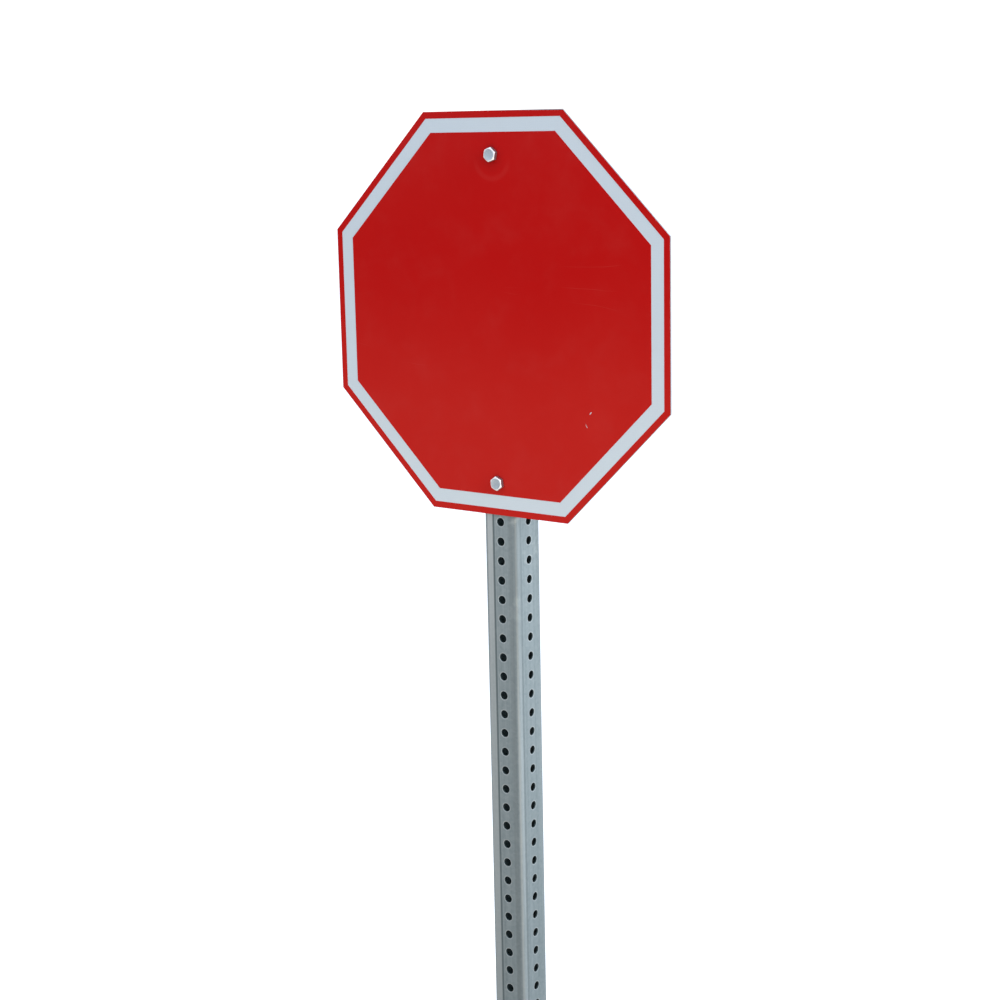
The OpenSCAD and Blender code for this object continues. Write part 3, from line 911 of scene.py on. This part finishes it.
def close_rims(mesh):
    """Caps every open rim of the mesh with one face"""
    work = bmesh.new()
    work.from_mesh(mesh)
    bmesh.ops.remove_doubles(work, verts=work.verts, dist=0.002 * MM)
    bmesh.ops.holes_fill(work, edges=[e for e in work.edges if e.is_boundary], sides=0)
    bmesh.ops.recalc_face_normals(work, faces=work.faces)
    work.to_mesh(mesh)
    work.free()


def hex_bolt(node, turned):
    """A bolt along the CAD bolt: a forged head with a dished top, a plain shank and a cut thread"""
    low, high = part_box(node)
    seat, length = low.y + HEAD_H, high.y - low.y - HEAD_H
    middle = (low.z + high.z) / 2
    rings = [round_ring(BOLT_R - 0.05 * MM, THREAD_LENGTH - length), round_ring(BOLT_R - 0.05 * MM, 0),
             round_ring(SEAT_R, 0), round_ring(SEAT_R, 0.35 * MM), hex_ring(HEX_W, 0.55 * MM),
             hex_ring(HEX_W, HEAD_H - 0.6 * MM, HEAD_FACE_R),
             hex_ring(HEX_W, HEAD_H - 0.25 * MM, HEAD_FACE_R),
             hex_ring(HEX_W - 0.5 * MM, HEAD_H, HEAD_FACE_R),
             round_ring(HEAD_FACE_R, HEAD_H), round_ring(HEAD_FACE_R - 0.5 * MM, HEAD_H),
             round_ring(HEAD_FACE_R - 1.6 * MM, HEAD_H - 0.2 * MM),
             round_ring(0.3 * MM, HEAD_H - 0.26 * MM)]
    body = solid_of_rings(node + "_body", rings)
    # Marks the chamfer rings for the painted white highlight
    rim_highlight_layer = body.attributes.new("painted_rim_highlight", "FLOAT", "POINT")
    for i in range(HIGHLIGHT_RINGS.start * AROUND, HIGHLIGHT_RINGS.stop * AROUND):
        rim_highlight_layer.data[i].value = 1.0
    body.transform(Matrix.Rotation(math.radians(turned), 4, "Z"))
    rows = round(THREAD_LENGTH / THREAD_PITCH) * ROWS_PER_TURN + 1
    mesh = run_tree(node + "_threaded", body, thread_tree, Radius=BOLT_R, Depth=THREAD_DEPTH,
                    Pitch=THREAD_PITCH, Length=THREAD_LENGTH, Start=THREAD_LENGTH - length, Rows=rows)
    close_rims(mesh)
    mesh.transform(Matrix.Translation((0, seat, middle)) @ Matrix.Rotation(math.pi / 2, 4, "X"))
    smooth_by_angle(mesh, 28)
    return piece(node + "_threaded", mesh, zinc, "zinc_plated_steel", node)


HEAD_TURNS = {"upper_bolt": 19, "lower_bolt": 36, "anchor_bolt": 8}
for node, turned in HEAD_TURNS.items():
    hex_bolt(node, turned)

# %% Washers and nuts
WASHER_R, WASHER_HOLE_R = 10.0 * MM, 5.25 * MM
THREAD_HOLE_R = 5.05 * MM
SPRING_R = THREAD_HOLE_R + 4.0 * MM
SPRING_SLIT = 1.2 * MM
NUT_TURNS = {"upper": 12, "lower": 41, "anchor": 27}
SPRING_TURNS = {"upper": 70, "lower": 205, "anchor": 130}


def set_back(mesh, node):
    """Places a mesh that starts at z = 0 on the front face of the CAD node, pointing backwards"""
    low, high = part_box(node)
    upright = Matrix.Rotation(-math.pi / 2, 4, "X")
    mesh.transform(Matrix.Translation((0, low.y, (low.z + high.z) / 2)) @ upright)
    print(node, "open edges", tidy(mesh))
    smooth_by_angle(mesh, 28)
    return mesh


def flat_washer(node):
    """A stamped ring: its upper rim is rolled by the punch"""
    thick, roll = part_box(node)[1].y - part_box(node)[0].y, 0.4 * MM
    rings = [round_ring(WASHER_HOLE_R, 0), round_ring(WASHER_R, 0), round_ring(WASHER_R, thick - roll),
             round_ring(WASHER_R - 0.3 * roll, thick - 0.3 * roll), round_ring(WASHER_R - roll, thick),
             round_ring(WASHER_HOLE_R + 0.5 * roll, thick), round_ring(WASHER_HOLE_R, thick - 0.5 * roll)]
    mesh = set_back(solid_of_rings(node, rings, closed=True), node)
    piece(node + "_stamped", mesh, zinc, "zinc_plated_steel", node)


def spring_washer(node, turned):
    """A split ring of square wire; its ends stay a little apart along the bolt"""
    thick, rise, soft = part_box(node)[1].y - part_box(node)[0].y, 0.25 * MM, 0.25 * MM
    gap = math.asin(SPRING_SLIT / 2 / SPRING_R)
    sections = []
    for i in range(49):
        share = i / 48
        angle, lift, top = gap + share * (math.tau - 2 * gap), rise * share, thick - rise
        corners = [(THREAD_HOLE_R, 0), (SPRING_R - soft, 0), (SPRING_R, soft), (SPRING_R, top - soft),
                   (SPRING_R - soft, top), (THREAD_HOLE_R + soft, top), (THREAD_HOLE_R, top - soft)]
        sections.append([(r * math.cos(angle), r * math.sin(angle), h + lift) for r, h in corners])
    mesh = solid_of_rings(node, sections)
    mesh.transform(Matrix.Rotation(math.radians(turned), 4, "Z"))
    piece(node + "_split", set_back(mesh, node), zinc, "zinc_plated_steel", node)


def hex_nut(node, turned):
    """A nut with both faces chamfered and the mouths of its bore countersunk"""
    thick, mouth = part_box(node)[1].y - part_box(node)[0].y, 0.45 * MM
    rings = [round_ring(THREAD_HOLE_R, mouth), round_ring(THREAD_HOLE_R + mouth, 0),
             round_ring(CHAMFER_CIRCLE, 0), hex_ring(HEX_W, 0, CHAMFER_CIRCLE, fall=-1),
             hex_ring(HEX_W, thick, CHAMFER_CIRCLE),
             round_ring(CHAMFER_CIRCLE, thick), round_ring(THREAD_HOLE_R + mouth, thick),
             round_ring(THREAD_HOLE_R, thick - mouth)]
    mesh = solid_of_rings(node, rings, closed=True)
    mesh.transform(Matrix.Rotation(math.radians(turned), 4, "Z"))
    piece(node + "_chamfered", set_back(mesh, node), zinc, "zinc_plated_steel", node)


for place_name in ("upper", "lower", "anchor"):
    hex_nut(place_name + "_nut", NUT_TURNS[place_name])
    spring_washer(place_name + "_spring_washer", SPRING_TURNS[place_name])
for node in ("upper_flat_washer", "lower_flat_washer", "anchor_head_washer", "anchor_nut_washer"):
    flat_washer(node)
